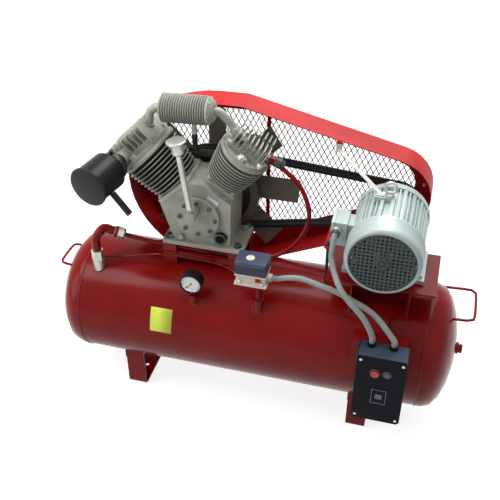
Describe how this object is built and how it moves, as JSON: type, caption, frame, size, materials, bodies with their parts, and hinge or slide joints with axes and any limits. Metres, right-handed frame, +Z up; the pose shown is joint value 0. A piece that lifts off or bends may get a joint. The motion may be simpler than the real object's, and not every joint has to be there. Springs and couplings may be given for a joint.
{
  "type": "belt-driven reciprocating air compressor on a horizontal receiver",
  "caption": "Horizontal air receiver on strap feet carrying a staged V-type piston pump, foot-mounted motor, belts behind a mesh guard, gauge, pressure switch and starter.",
  "frame": {"origin": "middle of the footprint on the floor", "axes": "+Z up; +X along the receiver toward the motor; -Y toward the gauge and starter"},
  "size_m": [1.3732, 0.535, 1.0539],
  "materials": {
    "tank_red": "gloss",
    "guard_red": "gloss",
    "cast_grey": "painted, satin",
    "motor_grey": "satin",
    "bare_steel": "zinc plated",
    "machined_steel": "machined",
    "piston_alloy": "machined",
    "blade_paint": "satin",
    "belt_rubber": "matte",
    "black_plastic": "satin",
    "valve_black": "satin",
    "switch_cream": "satin",
    "switch_blue": "satin",
    "brass": "bare",
    "conduit_grey": "matte",
    "stay_paint": "satin",
    "needle_black": "matte",
    "button_red": "gloss",
    "button_green": "gloss"
  },
  "bodies": {
    "receiver": {"air_filter": "black_plastic", "bearing_cover": "cast_grey", "belt_front": "belt_rubber", "belt_guard": "guard_red", "belt_rear": "belt_rubber", "breather_pipe": "bare_steel", "check_valve": "bare_steel", "conduit_motor": "conduit_grey", "conduit_switch": "conduit_grey", "crankcase": "cast_grey", "delivery_pipe": "tank_red", "filter_clamp": "bare_steel", "filter_snorkel": "black_plastic", "foot_left": "tank_red", "foot_right": "tank_red", "gauge_case": "black_plastic", "gauge_stem": "tank_red", "guard_mesh": "guard_red", "guard_stay": "stay_paint", "guard_stud": "bare_steel", "handle_left": "tank_red", "handle_right": "tank_red", "high_cylinder": "cast_grey", "high_head": "cast_grey", "high_transfer_pipe": "cast_grey", "inlet_elbow": "tank_red", "intercooler": "cast_grey", "lifting_eye": "bare_steel", "low_cylinder": "cast_grey", "low_head": "cast_grey", "low_transfer_pipe": "cast_grey", "motor_fan_cover": "motor_grey", "motor_frame": "motor_grey", "motor_stand": "tank_red", "oil_filler": "cast_grey", "oil_sight_glass": "black_plastic", "pressure_switch_base": "switch_cream", "pressure_switch_cover": "switch_blue", "pump_platform": "tank_red", "relief_valve": "valve_black", "starter_box": "black_plastic", "starter_bracket": "tank_red", "starter_cover": "black_plastic", "switch_riser": "tank_red", "tank_head_left": "tank_red", "tank_head_right": "tank_red", "tank_shell": "tank_red", "terminal_box": "motor_grey", "unloader_valve": "brass"},
    "crank": {"crankshaft": "machined_steel", "flywheel": "blade_paint"},
    "rotor": {"motor_rotor": "machined_steel"},
    "low_piston_set": {"low_piston": "piston_alloy"},
    "low_rod_set": {"low_rod": "machined_steel"},
    "high_piston_set": {"high_piston": "piston_alloy"},
    "high_rod_set": {"high_rod": "machined_steel"},
    "needle": {"gauge_needle": "needle_black"},
    "stop": {"stop_button": "button_red"},
    "start": {"start_button": "button_green"},
    "cap": {"breather_cap": "bare_steel"}
  },
  "joints": [
    {"name": "flywheel_spin", "type": "hinge", "parent": "receiver", "child": "crank", "pos_m": [-0.19084, 0.0465, 0.683], "axis": [0, 1, 0], "continuous": true},
    {"name": "motor_spin", "type": "hinge", "parent": "receiver", "child": "rotor", "pos_m": [0.39116, 0.0465, 0.719], "axis": [0, 1, 0], "continuous": true},
    {"name": "low_piston_slide", "type": "slide", "parent": "receiver", "child": "low_piston_set", "axis": [-0.7071, 0, 0.7071], "range_m": [-0.03, 0.03]},
    {"name": "low_rod_swing", "type": "hinge", "parent": "low_piston_set", "child": "low_rod_set", "pos_m": [-0.31953, 0.0815, 0.81169], "axis": [0, 1, 0], "range_deg": [-9.6, 9.6]},
    {"name": "high_piston_slide", "type": "slide", "parent": "receiver", "child": "high_piston_set", "axis": [0.5446, 0, 0.8387], "range_m": [-0.03, 0.03]},
    {"name": "high_rod_swing", "type": "hinge", "parent": "high_piston_set", "child": "high_rod_set", "pos_m": [-0.09716, 0.0985, 0.82725], "axis": [0, 1, 0], "range_deg": [-9.6, 9.6]},
    {"name": "gauge_reading", "type": "hinge", "parent": "receiver", "child": "needle", "pos_m": [-0.17884, -0.1215, 0.521], "axis": [0, 1, 0], "range_deg": [0, 270], "stiffness_Nm_per_rad": 0.01},
    {"name": "stop_press", "type": "slide", "parent": "receiver", "child": "stop", "axis": [0, 1, 0], "range_m": [0, 0.005], "stiffness_N_per_m": 400},
    {"name": "start_press", "type": "slide", "parent": "receiver", "child": "start", "axis": [0, 1, 0], "range_m": [0, 0.003], "stiffness_N_per_m": 400},
    {"name": "filler_cap_lift", "type": "slide", "parent": "receiver", "child": "cap", "axis": [-0.1296, 0, 0.9916], "range_m": [0, 0.03]}
  ],
  "couplings": [
    {"joint": "motor_spin", "follows": "flywheel_spin", "ratio": 2.2242}
  ]
}
